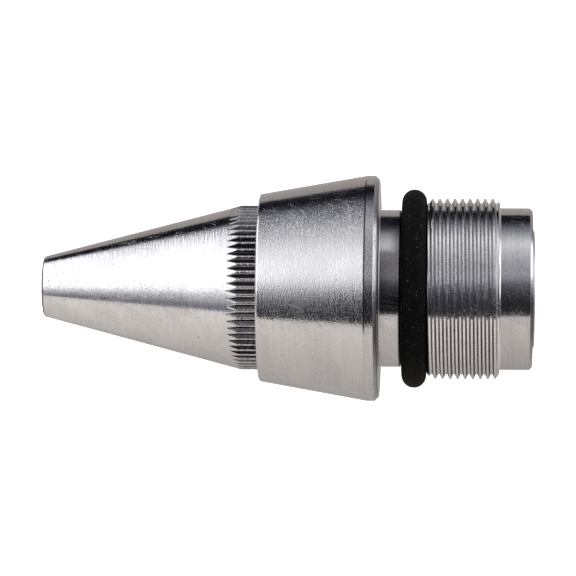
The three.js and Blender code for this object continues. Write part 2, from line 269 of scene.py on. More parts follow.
def turned_coordinates(g):
    """(x, radius, cos, sin) of a point about the X axis, lengths in millimetres, and s, which grows along a turned profile."""
    tc = g.node("ShaderNodeTexCoord")
    sep = g.node("ShaderNodeSeparateXYZ")
    g.link(tc.outputs["Object"], sep.inputs[0])
    x, y, z = (g.mul(sep.outputs[i], 1000.0) for i in range(3))
    r = g.math("MAXIMUM", g.math("SQRT", g.add(g.mul(y, y), g.mul(z, z))), 0.001)
    c, s_ = g.math("DIVIDE", y, r), g.math("DIVIDE", z, r)
    s = g.add(x, g.mul(r, 0.83))
    mm = g.combine(x, y, z)
    return x, y, z, r, c, s_, s, mm


def turned_metal(
    name,
    color=(0.5, 0.5, 0.505),
    rough=0.3,
    aniso=0.75,
    feed=0.226,
    lines=1.0,
    broad=0.2,
    speckle=1.0,
    scratches=0.5,
    stain_and_shade=0.5,
    grain=1.2,
    dots=0.8,
    stretch=1.5,
    seed=0.0,
    dirt_and_shade=None,
    quiet=None,
    lift=None,
):
    """Satin turned metal: feed lines round the axis, finer lines between them, pits and specks, stray scratches and
    handling smudges.
    dirt, if given, takes the graph and the coordinates and returns how far a point is darkened, 0 to 1, by grime and by
    painted shade; quiet scales the grain along x, and lift the colour."""
    m, g, bsdf = new_material(name)
    x, y, z, r, c, s_, s, mm = turned_coordinates(g)
    # feed lines: noise squeezed along the profile and stretched round the axis
    soft = g.combine(g.mul(g.add(s, seed), 1.0 / feed), g.mul(c, 1.3), g.mul(s_, 1.3))
    fine = g.combine(g.mul(g.add(s, seed + 7.0), 3.1 / feed), g.mul(c, 4.0), g.mul(s_, 4.0))
    wide = g.combine(g.mul(g.add(s, seed + 3.0), 0.28 / feed), g.mul(c, 0.7), g.mul(s_, 0.7))
    n_soft = g.noise(soft, 1.0, 1.5, 0.55)
    n_fine = g.noise(fine, 1.0, 2.0, 0.6)
    n_broad = g.noise(wide, 1.0, 2.0, 0.5)
    # small pits and specks, and larger smudges
    n_speck = g.noise(mm, 6.5, 3.0, 0.65)
    n_grain = g.noise(mm, 13.0, 2.0, 0.7)
    n_streak = g.noise(g.combine(g.mul(g.add(x, seed), 7.0), g.mul(y, stretch), g.mul(z, stretch)), 1.0, 0.0)
    n_dots = g.noise(g.combine(g.mul(g.add(x, seed + 4.0), 5.6), g.mul(y, 5.2), g.mul(z, 5.2)), 1.0, 0.0)
    n_matt = g.noise(g.combine(g.mul(g.add(x, seed + 2.0), 5.4), g.mul(y, 4.6), g.mul(z, 4.6)), 1.0, 0.0)
    n_smudge = g.noise(mm, 0.16, 4.0, 0.6, 0.6)
    # stray scratches, in three leaning directions
    scratch = None
    for k, (lean, scale, cut) in enumerate(((0.9, 1.0, 0.74), (-1.6, 0.8, 0.75), (0.25, 0.7, 0.745))):
        turn = g.mul(g.math("ARCTAN2", g.mul(s_, -1.0), g.mul(c, -1.0)), 12.0)
        u = g.add(g.mul(x, math.cos(lean)), g.mul(turn, math.sin(lean)))
        w = g.add(g.mul(x, -math.sin(lean)), g.mul(turn, math.cos(lean)))
        v = g.combine(g.mul(g.add(u, seed + 11.0 * k), 0.45 * scale), g.mul(w, 9.0 * scale), float(k) * 5.0 + seed)
        one = g.ramp(g.noise(v, 1.0, 0.0), cut, cut + 0.045)
        scratch = one if scratch is None else g.math("MAXIMUM", scratch, one)
    scratch = g.mul(scratch, g.ramp(n_smudge, 0.42, 0.58, 0.25, 1.0))

    height = g.add(g.mul(n_soft, 0.45 * lines), g.mul(n_fine, 0.25 * lines))
    height = g.add(height, g.mul(n_broad, broad))
    height = g.add(height, g.mul(n_speck, 0.12 * speckle))
    calm = quiet(g, x) if quiet else 1.0
    height = g.add(height, g.mul(g.mul(g.add(g.mul(n_streak, 0.75), g.mul(n_dots, dots)), grain), calm))
    height = g.add(height, g.mul(scratch, -0.7 * scratches))
    bump = g.node("ShaderNodeBump")
    bump.inputs["Strength"].default_value = 1.0
    bump.inputs["Distance"].default_value = 0.0000095
    g.link(height, bump.inputs["Height"])
    g.link(bump.outputs[0], bsdf.inputs["Normal"])

    value = g.add(g.ramp(n_soft, 0.25, 0.75, 1.0 - 0.05 * lines, 1.0 + 0.04 * lines), g.ramp(n_grain, 0.3, 0.7, -0.09 * speckle, 0.09 * speckle))
    value = g.add(value, g.ramp(n_streak, 0.3, 0.7, -0.03 * grain, 0.03 * grain))
    value = g.add(value, g.ramp(n_smudge, 0.35, 0.7, 0.03 * stain_and_shade, -0.07 * stain_and_shade))
    value = g.add(value, g.mul(g.ramp(n_speck, 0.28, 0.36, 1.0, 0.0), -0.22 * speckle))
    value = g.add(value, g.mul(scratch, 0.12 * scratches))
    value = g.add(value, g.mul(g.ramp(g.noise(mm, 2.6, 0.0), 0.815, 0.84), -0.38))
    if lift:
        value = g.mul(value, lift(g, x, r))
    tint = g.node("ShaderNodeCombineColor")
    for i in range(3):
        g.link(g.mul(value, color[i]), tint.inputs[i])
    base = tint.outputs[0]
    rr = g.add(rough, g.ramp(n_smudge, 0.3, 0.7, -0.025 * stain_and_shade, 0.04 * stain_and_shade))
    rr = g.add(rr, g.ramp(n_fine, 0.3, 0.7, -0.02, 0.02))
    rr = g.add(rr, g.mul(scratch, -0.06 * scratches))
    rr = g.add(rr, g.mul(g.ramp(n_matt, 0.52, 0.66, 0.0, 0.15 * grain), calm))
    if dirt_and_shade:
        soil_and_shade = dirt_and_shade(g, x, y, z, r, n_speck, n_grain, n_smudge)
        # grime and painted shade both pull the colour towards this purple-black
        base = g.mix(soil_and_shade, base, (0.031, 0.021, 0.027, 1))
        rr = g.add(rr, g.mul(soil_and_shade, 0.10))
    g.link(base, bsdf.inputs["Base Color"])
    g.link(rr, bsdf.inputs["Roughness"])
    bsdf.inputs["Metallic"].default_value = 1.0
    bsdf.inputs["Anisotropic"].default_value = aniso
    bsdf.inputs["Anisotropic Rotation"].default_value = 0.25
    tangent = g.node("ShaderNodeTangent", direction_type="RADIAL", axis="X")
    g.link(tangent.outputs[0], bsdf.inputs["Tangent"])
    return m


def between(g, value, low, high, soft):
    return g.mul(g.ramp(value, low - soft, low + soft), g.ramp(value, high - soft, high + soft, 1.0, 0.0))


def housing_dirt_and_shade(g, x, y, z, r, speck, grain, smudge):
    """Dark oil and painted shade: grime on the thread's flanks, with painted shade darkening their lower side, and in
    its pits; painted shade over the shoulder face, along the collar's edges and rim and in the groove under the ring;
    mottled grime with painted shade on the land; and oil on the neck and boss laid in bands of painted shade.
    """
    rough_edge = g.mul(g.add(grain, -0.5), 0.35)
    thread = between(g, x, 6.6, 15.5, 0.08)
    # the angle from the front, over the top
    angle = g.mul(g.math("ARCTAN2", z, g.mul(y, -1.0)), 180 / PI)
    # painted shade: the grime on the thread's flanks is darkest on the lower side and lighter over the top
    below = g.mul(g.ramp(angle, 4.0, 16.0, 1.0, 0.0), g.ramp(angle, -150.0, -120.0, 0.0, 1.0))
    flanks = g.mul(between(g, g.add(r, rough_edge), 11.50, 11.86, 0.045), g.mul(thread, g.mul(g.add(g.mul(below, 0.58), 0.42), g.ramp(grain, 0.40, 0.60, 1.1, 0.75))))
    pits = g.mul(g.mul(g.ramp(grain, 0.585, 0.65), thread), 0.88)
    # painted shade over the shoulder face, mottled, fading out over the top
    shoulder = g.mul(between(g, x, 0.085, 0.155, 0.008), g.ramp(g.add(speck, g.mul(grain, 0.5)), 0.5, 0.9, 0.85, 0.35))
    shoulder = g.mul(shoulder, g.ramp(angle, 88.0, 100.0, 1.0, 0.15))
    # painted shade: a dark line along the collar's rear edge, strongest over the front and top
    land_edge = g.mul(between(g, g.add(x, g.mul(rough_edge, 0.35)), -1.68, -1.46, 0.025), g.ramp(r, 14.85, 14.9, 0.0, 0.95))
    land_edge = g.mul(land_edge, g.mul(g.ramp(angle, 7.0, 15.0, 0.10, 1.0), g.ramp(angle, 98.0, 110.0, 1.0, 0.12)))
    # painted shade in the corner round the rim's chamfer, speckled
    rim = g.mul(between(g, x, -0.36, 0.12, 0.02), g.mul(g.math("MAXIMUM", g.ramp(grain, 0.50, 0.58, 0.0, 0.80), g.ramp(r, 14.58, 14.70, 0.55, 0.0)), g.ramp(r, 14.2, 14.3)))
    # mottled grime with painted shade on the land, over the front and top only
    land = g.mul(between(g, x, -1.55, -0.42, 0.02), g.mul(g.ramp(grain, 0.42, 0.62, 0.04, 0.62), between(g, angle, 16.0, 74.0, 6.0)))
    land = g.mul(land, g.ramp(r, 14.85, 14.9))
    # painted shade on the groove's floor under the ring
    under_ring = g.mul(between(g, x, 2.75, 6.5, 0.15), 0.85)
    # the oil on the neck lies on the side that faces forward, in bands round the axis that paint the shade of its
    # reflections, and it is thicker towards the ring, where grime is joined by painted shade from the ring
    film_and_shade = g.add(g.mul(between(g, angle, 15.0, 39.0, 3.0), 0.93), g.mul(between(g, angle, 39.0, 61.0, 3.0), 0.72))
    film_and_shade = g.add(film_and_shade, g.mul(between(g, angle, 61.0, 78.0, 4.0), 0.16))
    film_and_shade = g.add(film_and_shade, g.mul(between(g, angle, 79.0, 98.0, 4.0), 0.80))
    toward = g.mul(between(g, angle, 36.0, 84.0, 6.0), g.ramp(g.add(x, g.mul(rough_edge, 2.0)), 1.1, 2.9, 0.0, 0.75))
    film_and_shade = g.math("MAXIMUM", film_and_shade, toward)
    film_and_shade = g.mul(g.mul(film_and_shade, between(g, x, 0.34, 2.95, 0.06)), g.ramp(g.add(g.mul(smudge, 0.5), grain), 0.60, 0.95, 1.06, 0.62))
    # a dark band on the boss over the front, grime with painted shade
    stain_and_shade = g.mul(between(g, angle, 17.0, 40.0, 5.0), g.mul(g.ramp(x, 16.0, 16.3), 0.62))
    total = flanks
    for more in (pits, shoulder, land_edge, land, rim, under_ring, film_and_shade, stain_and_shade):
        total = g.math("MAXIMUM", total, more)
    return total


def housing_grain(g, x):
    """The collar is grainier than the neck, thread and boss."""
    return g.ramp(x, -0.3, 0.2, 1.0, 0.60)


def thread_lift(g, x, r):
    """The thread is brighter cut metal than the rest."""
    return g.add(g.mul(between(g, x, 6.55, 16.2, 0.03), 0.42), 1.0)


def knurl_dirt_and_shade(g, x, y, z, r, speck, grain, smudge):
    """Dark grime with painted shade in the knurl's grooves, lighter over the top; nicks on the knurl's part nearest the
    collar, with painted shade over the top; a line of painted shade round the tip's edge. The crests stay bright.
    """
    crest = g.math("MINIMUM", g.add(g.mul(x, CONE_SLOPE), TIP_R - CONE_SLOPE * TIP_X), CONE_R)
    angle = g.mul(g.math("ARCTAN2", z, g.mul(y, -1.0)), 180 / PI)
    # painted shade: over the top the grooves are lighter and the nicks darker
    top = between(g, angle, 88.0, 150.0, 4.0)
    depth = g.add(g.math("SUBTRACT", crest, r), g.mul(g.add(grain, -0.5), 0.16))
    patchy = g.ramp(grain, 0.50, 0.66, 0.90, 0.32)
    grooves = g.mul(g.ramp(depth, 0.045, 0.11), g.add(patchy, g.mul(top, -0.40)))
    nicks_and_shade = g.mul(g.ramp(x, -18.5, -18.0), g.add(g.ramp(speck, 0.50, 0.60, 0.0, 0.42), g.mul(top, 0.38)))
    # painted shade: a dark line round the tip's rounded edge
    tip = g.mul(between(g, x, -44.70, -44.44, 0.03), g.ramp(r, 3.72, 3.80, 0.0, 0.92))
    return g.math("MAXIMUM", g.mul(g.math("MAXIMUM", grooves, nicks_and_shade), between(g, x, -20.2, -15.25, 0.05)), tip)


TIP_X, TIP_R, SKIRT_X, CONE_R = -44.65, 4.02, -18.2, 10.95
CONE_SLOPE = (CONE_R - TIP_R) / (SKIRT_X - TIP_X)


def rubber_material(name):
    """Matt black moulded rubber with a faint bloom, fine grain and a few specks of dust."""
    m, g, bsdf = new_material(name)
    x, y, z, r, c, s_, s, mm = turned_coordinates(g)
    grain = g.noise(mm, 9.0, 4.0, 0.6)
    bloom = g.noise(mm, 0.5, 3.0, 0.55)
    dust = g.ramp(g.noise(mm, 4.5, 1.0, 0.5), 0.715, 0.745)
    bump = g.node("ShaderNodeBump")
    bump.inputs["Strength"].default_value = 1.0
    bump.inputs["Distance"].default_value = 0.000008
    g.link(g.add(g.mul(grain, 0.8), g.mul(bloom, 1.2)), bump.inputs["Height"])
    g.link(bump.outputs[0], bsdf.inputs["Normal"])
    base = g.mix(g.ramp(bloom, 0.35, 0.75, 0.0, 1.0), (0.0012, 0.0014, 0.0014, 1), (0.0034, 0.0036, 0.0034, 1))
    base = g.mix(g.mul(dust, 0.8), base, (0.14, 0.135, 0.12, 1))
    g.link(base, bsdf.inputs["Base Color"])
    g.link(g.add(g.ramp(grain, 0.3, 0.7, 0.62, 0.78), g.mul(dust, 0.1)), bsdf.inputs["Roughness"])
    bsdf.inputs["Specular IOR Level"].default_value = 0.06
    return m


STEEL = (0.47, 0.47, 0.472)
materials = {
    "housing_steel": turned_metal("housing_steel", STEEL, 0.135, 0.82, broad=0.10, scratches=0.85, stain_and_shade=0.9, grain=0.82, seed=1.0, dirt_and_shade=housing_dirt_and_shade, quiet=housing_grain, lift=thread_lift),
    "cone_steel": turned_metal("cone_steel", STEEL, 0.105, 0.78, lines=0.55, broad=0.05, speckle=0.6, scratches=0.7, stain_and_shade=1.1, grain=1.0, dots=0.22, stretch=0.55, seed=23.0, dirt_and_shade=knurl_dirt_and_shade),
    "plug_steel": turned_metal("plug_steel", (0.47, 0.47, 0.47), 0.33, 0.7, feed=0.16, seed=41.0),
    "spindle_steel": turned_metal("spindle_steel", (0.52, 0.53, 0.54), 0.2, 0.6, feed=0.12, lines=0.5, speckle=0.5, seed=57.0),
    "bearing_steel": turned_metal("bearing_steel", (0.62, 0.63, 0.64), 0.11, 0.4, feed=0.09, lines=0.25, speckle=0.25, scratches=0.25, stain_and_shade=0.3, seed=71.0),
    "cage_brass": turned_metal("cage_brass", (0.55, 0.40, 0.17), 0.28, 0.4, feed=0.2, lines=0.5, speckle=0.8, seed=83.0),
    "spring_steel": turned_metal("spring_steel", (0.12, 0.125, 0.14), 0.3, 0.2, feed=0.3, lines=0.3, speckle=1.2, seed=97.0),
    "fastener_steel": turned_metal("fastener_steel", (0.42, 0.43, 0.44), 0.34, 0.3, feed=0.2, lines=0.6, speckle=1.0, seed=103.0),
    "rubber": rubber_material("rubber"),
}


def paint(obj, slot):
    obj.data.materials.clear()
    obj.data.materials.append(materials[slot])


# ------------------------------------------------------------------ housing body
PITCH = 1.0
THREAD_X0, THREAD_X1 = 6.5, 16.1
THREAD_R, ROOT_R = 12.0, 11.39
THREAD_PHASE = 0.93  # a crest's X, in pitches, where the angle is zero
CREST_HALF, ROOT_HALF = 0.125, 0.115  # half the width of a crest and of a root, in pitches


def thread_radius(x, theta):
    u = x / PITCH - THREAD_PHASE - theta / (2 * PI)
    turn = np.round(u)
    u = np.abs(u - turn)  # 0 at a crest, 0.5 at a root
    depth = np.clip((u - CREST_HALF) / (0.5 - ROOT_HALF - CREST_HALF), 0, 1)
    r = THREAD_R - (THREAD_R - ROOT_R) * depth
    wear = 0.022 * noise1((turn + theta / (2 * PI)) * 71.0, 5) * (1 - depth) ** 2
    lead_in = ROOT_R - 0.05 + (x - THREAD_X0) * 1.05
    lead_out = ROOT_R - 0.02 + (THREAD_X1 - x) * 1.1
    return np.minimum(np.minimum(r - np.abs(wear), lead_in), lead_out)


COLS = 320
theta_h = np.arange(COLS) * (2 * PI / COLS)
before_thread = [
    (-15.0, 11.2, 0.06),
    (-15.8, 11.2, 0.12),
    (-15.8, 12.47, 0.30),
    (-1.55, 14.98, 0.04),
    (-0.40, 15.0, 0.05),
    (0.12, 14.45, 0.08),
    (0.12, 10.44, 0.24),
    (2.95, 10.44, 0.10),
    (2.95, 9.75, 0.12),
    (6.46, 9.75, 0.12),
    (6.46, 11.22, 0.06),
    (6.5, 11.30),
]
after_thread = [
    (16.1, 11.30),
    (16.12, 10.75, 0.05),
    (20.02, 10.75, 0.05),
    (20.4, 10.37, 0.08),
    (20.4, 8.25, 0.05),
    (20.2, 8.05, 0.03),
    (8.0, 8.05, 0.05),
    (8.0, 4.3, 0.1),
    (2.8, 4.3, 0.1),
    (2.8, 8.05, 0.05),
    (-4.2, 8.05, 0.1),
    (-4.2, 11.05, 0.05),
    (-11.5, 11.05, 0.03),
    (-11.5, 11.55, 0.03),
    (-12.7, 11.55, 0.03),
    (-12.7, 11.05, 0.03),
    (-15.0, 11.05, 0.03),
]


def split_long(prof, longest):
    fine = []
    for i, p in enumerate(prof):
        fine.append(p)
        if i < len(prof) - 1:
            q = prof[i + 1]
            parts = max(1, math.ceil(math.dist(p, q) / longest))
            fine += [(p[0] + (q[0] - p[0]) * k / parts, p[1] + (q[1] - p[1]) * k / parts) for k in range(1, parts)]
    return fine


def joined(parts):
    """One grid of points and faces from several, with points that fall together merged and flat faces dropped."""
    points = np.concatenate([p for p, q, t in parts])
    shift = np.cumsum([0] + [len(p) for p, q, t in parts])[:-1]
    quads = np.concatenate([q + k for (p, q, t), k in zip(parts, shift)])
    tris = np.concatenate([t + k for (p, q, t), k in zip(parts, shift)])
    key = np.round(points / 1e-8).astype(np.int64)
    _, first, inverse = np.unique(key, axis=0, return_index=True, return_inverse=True)
    inverse = inverse.reshape(-1)
    points, quads, tris = points[first], inverse[quads], inverse[tris]
    same = quads == np.roll(quads, -1, 1)
    good = quads[~same.any(1)]
    extra = [row[[k for k in range(4) if not flat[k]]] for row, flat in zip(quads[same.sum(1) == 1], same[same.sum(1) == 1])]
    good = good[(good[:, 0] != good[:, 2]) & (good[:, 1] != good[:, 3])]
    tris = tris[(tris != np.roll(tris, -1, 1)).all(1)]
    tris = np.concatenate([tris, np.array(extra, int).reshape(-1, 3)])
    return points, good, tris


def helix_grid():
    """The threaded length. Its rows follow the helix, so the crests and roots are clean edges, and they end on two plain circles."""
    flank = 0.5 - ROOT_HALF - CREST_HALF
    side = [0.04, CREST_HALF - 0.015, CREST_HALF] + [CREST_HALF + flank * t for t in (0.06, 0.3, 0.6, 0.9, 0.97, 1.0)] + [0.46]
    steps = np.array([-0.5] + [-t for t in reversed(side)] + [0.0] + side)
    n = len(steps)
    turns = int(math.ceil((THREAD_X1 - THREAD_X0) / PITCH)) + 3
    base = math.floor(THREAD_X0 / PITCH) - 1
    along = np.concatenate([(base + k + steps) for k in range(turns)])
    rows = len(along)
    x = (along[:, None] + THREAD_PHASE + theta_h[None, :] / (2 * PI)) * PITCH
    x = np.clip(x, THREAD_X0, THREAD_X1)
    r = thread_radius(x, np.broadcast_to(theta_h, x.shape))
    points = np.stack([x, r * np.cos(theta_h), r * np.sin(theta_h)], 2).reshape(-1, 3) * MM
    j, i = np.meshgrid(np.arange(rows - 1), np.arange(COLS - 1), indexing="ij")
    at = lambda row, col: row * COLS + col
    quads = [np.stack([at(j, i), at(j + 1, i), at(j + 1, i + 1), at(j, i + 1)], 2).reshape(-1, 4)]
    # over the seam a row meets the one that starts a pitch further on
    k = np.arange(rows - 1 - n)
    last = np.full(len(k), COLS - 1)
    quads.append(np.stack([at(k, last), at(k + 1, last), at(k + 1 + n, 0 * k), at(k + n, 0 * k)], 1))
    return points, np.concatenate(quads), np.zeros((0, 3), int)


def strip_grid(prof):
    """A skin round the axis along an open profile."""
    prof = np.array(prof, float)
    return revolve_grid(np.repeat(prof[:, :1], COLS, 1), np.repeat(prof[:, 1:], COLS, 1), False)


end_in = float(thread_radius(np.array([THREAD_X0]), np.array([0.0]))[0])
end_out = float(thread_radius(np.array([THREAD_X1]), np.array([0.0]))[0])
before_thread[-1] = (THREAD_X0, end_in)
after_thread[0] = (THREAD_X1, end_out)
head = split_long(rounded([(-15.0, 11.05)] + before_thread, False, 5), 1.2)
tail = split_long(rounded(after_thread, False, 5), 1.2)
grid = joined([strip_grid(head), helix_grid(), strip_grid(tail)])
housing = link_mesh("housing_body_fine", grid, "housing", ["housing_body"], 40.0)
paint(housing, "housing_steel")

# ------------------------------------------------------------------ nose cone with its knurl
TEETH, PER_TOOTH = 66, 12
KCOLS = TEETH * PER_TOOTH
GROOVE_ANGLE = math.radians(144.25)
KNURL_ROOT, KNURL_CREST = 10.50, 10.97


def cone_radius(x):
    return TIP_R + CONE_SLOPE * (x - TIP_X)


theta_k = np.arange(KCOLS) * (2 * PI / KCOLS)
tooth = (theta_k - GROOVE_ANGLE) / (2 * PI / TEETH)
tooth_id = np.round(tooth)
across = np.abs(tooth - tooth_id) * 2  # 0 in a groove's root, 1 on a crest


def knurl_radius(x):
    """Radius of each column at x: V grooves below the cone and skirt, with rough crests."""
    skirt = min(cone_radius(x), KNURL_CREST)
    rough = 0.035 * noise1(np.full(KCOLS, x * 4.0) + tooth_id * 17.3, 9, 3)
    groove = KNURL_ROOT + (KNURL_CREST + 0.015 - KNURL_ROOT) * across**0.74 + rough * across
    r = np.minimum(skirt, groove)
    if x > SKIRT_X:
        burr = 0.045 * noise1(np.full(KCOLS, x * 5.0 + 9.0) + tooth_id * 5.7, 12, 2)
        r = np.where(across > 0.8, np.minimum(r, KNURL_CREST - 0.045 + burr), r)
    return r


prof = rounded([(TIP_X, 0.0), (TIP_X, TIP_R - 0.02, 0.30), (-19.95, cone_radius(-19.95))], False, 4)
prof = split_long(prof, 1.6)
rows_x = [np.full(KCOLS, px) for px, pr in prof]
rows_r = [np.full(KCOLS, pr) for px, pr in prof]
for px in np.arange(-19.93, -15.45, 0.055):
    rows_x.append(np.full(KCOLS, px))
    rows_r.append(knurl_radius(px) if px > -19.85 else np.full(KCOLS, cone_radius(px)))
end = rows_r[-1]
for k, px in enumerate((-15.40, -15.32, -15.25, -15.2)):
    rows_x.append(np.full(KCOLS, px))
    rows_r.append(np.minimum(end, 10.86 - 0.11 * k))
for px, pr in split_long(
    rounded([(-15.2, 10.2), (-15.2, 5.6, 0.1), (-16.15, 5.6, 0.05), (-16.15, 4.1, 0.2), (-26.0, 4.1, 0.05), (-27.8, 0.0)], False, 3), 3.0
):
    rows_x.append(np.full(KCOLS, px))
    rows_r.append(np.full(KCOLS, pr))
grid = revolve_grid(np.array(rows_x), np.array(rows_r), False)
cone = link_mesh("nose_cone_fine", grid, "spindle", ["nose_cone"], 50.0)
paint(cone, "cone_steel")

# ------------------------------------------------------------------ o-ring
ocols, osec = 256, 40
phi = np.arange(osec) * (2 * PI / osec)
theta_o = np.arange(ocols) * (2 * PI / ocols)
flash = 0.03 * np.exp(-((np.angle(np.exp(1j * (phi - PI / 2))) / 0.09) ** 2))
radial = 1.645 + flash * 0
ox = 4.74 + np.outer(radial * np.cos(phi), np.ones(ocols))
orad = 11.54 + np.outer(radial * np.sin(phi), np.ones(ocols))
orad += 0.015 * np.outer(np.ones(osec), noise1(theta_o / (2 * PI) * 9, 3, 2, 9))
ox += 0.02 * np.outer(np.ones(osec), noise1(theta_o / (2 * PI) * 5, 4, 2, 5))
grid = revolve_grid(ox, np.minimum(orad, 13.19), True)
oring = link_mesh("o_ring_fine", grid, "housing", ["o_ring"], 60.0)
paint(oring, "rubber")


# ------------------------------------------------------------------ rear plug
def boolean_cut(obj, cutters):
    for cutter in cutters:
        mod = obj.modifiers.new("cut", "BOOLEAN")
        mod.operation, mod.solver, mod.object = "DIFFERENCE", "EXACT", cutter
    bpy.context.view_layer.update()
    dg = bpy.context.evaluated_depsgraph_get()
    made = bpy.data.meshes.new_from_object(obj.evaluated_get(dg), depsgraph=dg)
    obj.modifiers.clear()
    # weld the slivers that the cuts leave where two curved faces almost touch
    bm = bmesh.new()
    bm.from_mesh(made)
    bmesh.ops.remove_doubles(bm, verts=bm.verts, dist=2e-6)
    bmesh.ops.dissolve_degenerate(bm, dist=2e-6, edges=bm.edges)
    bmesh.ops.holes_fill(bm, edges=[edge for edge in bm.edges if edge.is_boundary], sides=0)
    bmesh.ops.triangulate(bm, faces=[face for face in bm.faces if len(face.verts) > 4])
    bmesh.ops.remove_doubles(bm, verts=bm.verts, dist=2e-6)
    bmesh.ops.dissolve_degenerate(bm, dist=2e-6, edges=bm.edges)
    bmesh.ops.holes_fill(bm, edges=[edge for edge in bm.edges if edge.is_boundary], sides=0)
    bmesh.ops.recalc_face_normals(bm, faces=bm.faces)
    bm.to_mesh(made)
    bm.free()
    obj.data = made
    for cutter in cutters:
        bpy.data.objects.remove(cutter)
    smooth(made, 32.0)
    return obj


def cutter_from(verts, quads, tris):
    obj = bpy.data.objects.new("cutter", mesh_from("cutter", verts, quads, tris))
    bpy.context.scene.collection.objects.link(obj)
    return obj


def drill(points, centre, spin=0.0, upright=False, cols=40):
    """A round cutter: points (depth, radius) along its own axis, which is X, or radial at the angle spin."""
    prof = np.array(points, float)
    v, quads, tris = revolve_grid(np.repeat(prof[:, :1], cols, 1), np.repeat(prof[:, 1:], cols, 1), False)
    if upright:
        m = np.array(Matrix.Rotation(spin, 3, "X") @ Matrix.Rotation(PI / 2, 3, "Z"))
        v = v @ m.T
    return cutter_from(v + np.array(centre) * MM, quads, tris)


plug = lathe(
    "rear_plug_fine",
    [(18.0, 0.0), (18.0, 5.6, 0.2), (14.2, 5.6, 0.1), (14.2, 8.0, 0.25), (20.33, 8.0, 0.03), (20.65, 7.68, 0.06), (20.65, 0.0)],
    "housing",
    ["rear_plug"],
    "plug_steel",
    192,
    longest=1.5,
)
boolean_cut(
    plug,
    [
        drill([(-1.9, 0.0), (-1.5, 1.0), (-0.12, 1.0), (0.1, 1.22), (0.1, 0.0)], (20.65, 0, side * 5.2), cols=48)
        for side in (-1, 1)
    ],
)
paint(plug, "plug_steel")

# ------------------------------------------------------------------ inner pieces
def ring_piece(node, points, body, slot, cols=144, **more):
    obj = lathe(node + "_fine", points, body, [node], slot, cols, **more)
    paint(obj, slot)
    return obj


ring_piece(
    "spindle",
    [(-25.0, 0.0), (-25.0, 4.0, 0.5), (-16.05, 4.0, 0.1), (-16.05, 5.5, 0.15), (-11.4, 5.5, 0.15), (-11.4, 3.95, 0.2), (8.0, 3.95, 0.25), (8.0, 2.45, 0.1), (17.4, 2.45, 0.3), (17.4, 0.0)],
    "spindle",
    "spindle_steel",
    longest=1.5,
)
ring_piece(
    "front_seal",
    [(-14.9, 10.95, 0.15), (-14.9, 7.0, 0.2), (-14.3, 5.66, 0.12), (-13.8, 5.66, 0.12), (-13.4, 7.4, 0.2), (-12.9, 7.4, 0.1), (-12.9, 10.95, 0.2)],
    "housing",
    "rubber",
)
ring_piece("spacer_sleeve", [(-4.2, 4.02, 0.12), (-4.2, 5.4, 0.12), (-2.4, 5.4, 0.12), (-2.4, 4.02, 0.12)], "spindle", "fastener_steel")
ring_piece("lock_washer", [(13.2, 2.55, 0.06), (13.2, 4.3, 0.08), (13.75, 4.3, 0.08), (13.75, 2.55, 0.06)], "spindle", "fastener_steel")
ring_piece(
    "thrust_shaft_washer",
    [(-2.3, 4.02, 0.15), (-0.9, 4.02, 0.15), (-0.9, 4.9, 0.05), (-1.1, 5.5, 0.25), (-1.1, 6.5, 0.25), (-0.9, 7.1, 0.05), (-0.9, 7.75, 0.15), (-2.3, 7.75, 0.2)],
    "spindle",
    "bearing_steel",
)
ring_piece(
    "thrust_housing_washer",
    [(2.7, 4.25, 0.15), (1.3, 4.25, 0.15), (1.3, 4.9, 0.05), (1.5, 5.5, 0.25), (1.5, 6.5, 0.25), (1.3, 7.1, 0.05), (1.3, 8.0, 0.15), (2.7, 8.0, 0.2)],
    "housing",
    "bearing_steel",
)
FRONT = dict(x=-7.8, w=7, bore=4.0, outer=11.0, pitch=7.5, ball=3.969 / 2, n=7, si=6.05, so=8.95, ci=6.9, co=8.1, ch=2.7, pocket=2.12, race=1.354)
REAR = dict(x=10.6, w=5, bore=2.5, outer=8.0, pitch=5.25, ball=3.175 / 2, n=7, si=4.15, so=6.35, ci=4.75, co=5.75, ch=2.15, pocket=1.70, race=1.145)
THRUST = dict(x=0.2, pitch=6.0, ball=2.381 / 2, n=9, ci=4.35, co=7.65, ch=0.55, pocket=1.28)


def race_arc(B, outward, steps=12):
    """The raceway's arc, a little larger than the ball, between its two shoulders."""
    R = B["ball"] * 1.02
    shoulder = (B["so"] if outward else B["si"]) - B["pitch"]
    half = math.sqrt(max(R * R - shoulder * shoulder, 0.01))
    pts = []
    for k in range(steps + 1):
        u = -half + 2 * half * k / steps
        pts.append((B["x"] + u, B["pitch"] + (1 if outward else -1) * math.sqrt(max(R * R - u * u, 0.0))))
    return pts


def ball_bearing(prefix, B, cage_body):
    x0, x1 = B["x"] - B["w"] / 2, B["x"] + B["w"] / 2
    ring_piece(
        prefix + "_bearing_outer_ring",
        [(x0, B["outer"], 0.35), (x0, B["so"], 0.08), *race_arc(B, True), (x1, B["so"], 0.08), (x1, B["outer"], 0.35)],
        "housing",
        "bearing_steel",
        sharp=40.0,
    )
    ring_piece(
        prefix + "_bearing_inner_ring",
        [(x0, B["bore"], 0.3), (x0, B["si"], 0.08), *race_arc(B, False), (x1, B["si"], 0.08), (x1, B["bore"], 0.3)],
        "spindle",
        "bearing_steel",
        sharp=40.0,
    )
    cage_and_balls(prefix, B, cage_body)


def ball_mesh(name, centre, radius, body, node, seg=32, rings=20):
    rows = np.arange(rings + 1) * PI / rings
    x = np.repeat((-radius * np.cos(rows))[:, None], seg, 1)
    r = np.repeat((radius * np.sin(rows))[:, None], seg, 1)
    r[0], r[-1] = 0, 0
    verts, quads, tris = revolve_grid(x, r, False)
    obj = link_mesh(name, (verts + np.array(centre) * MM, quads, tris), body, [node], 60.0)
    paint(obj, "bearing_steel")


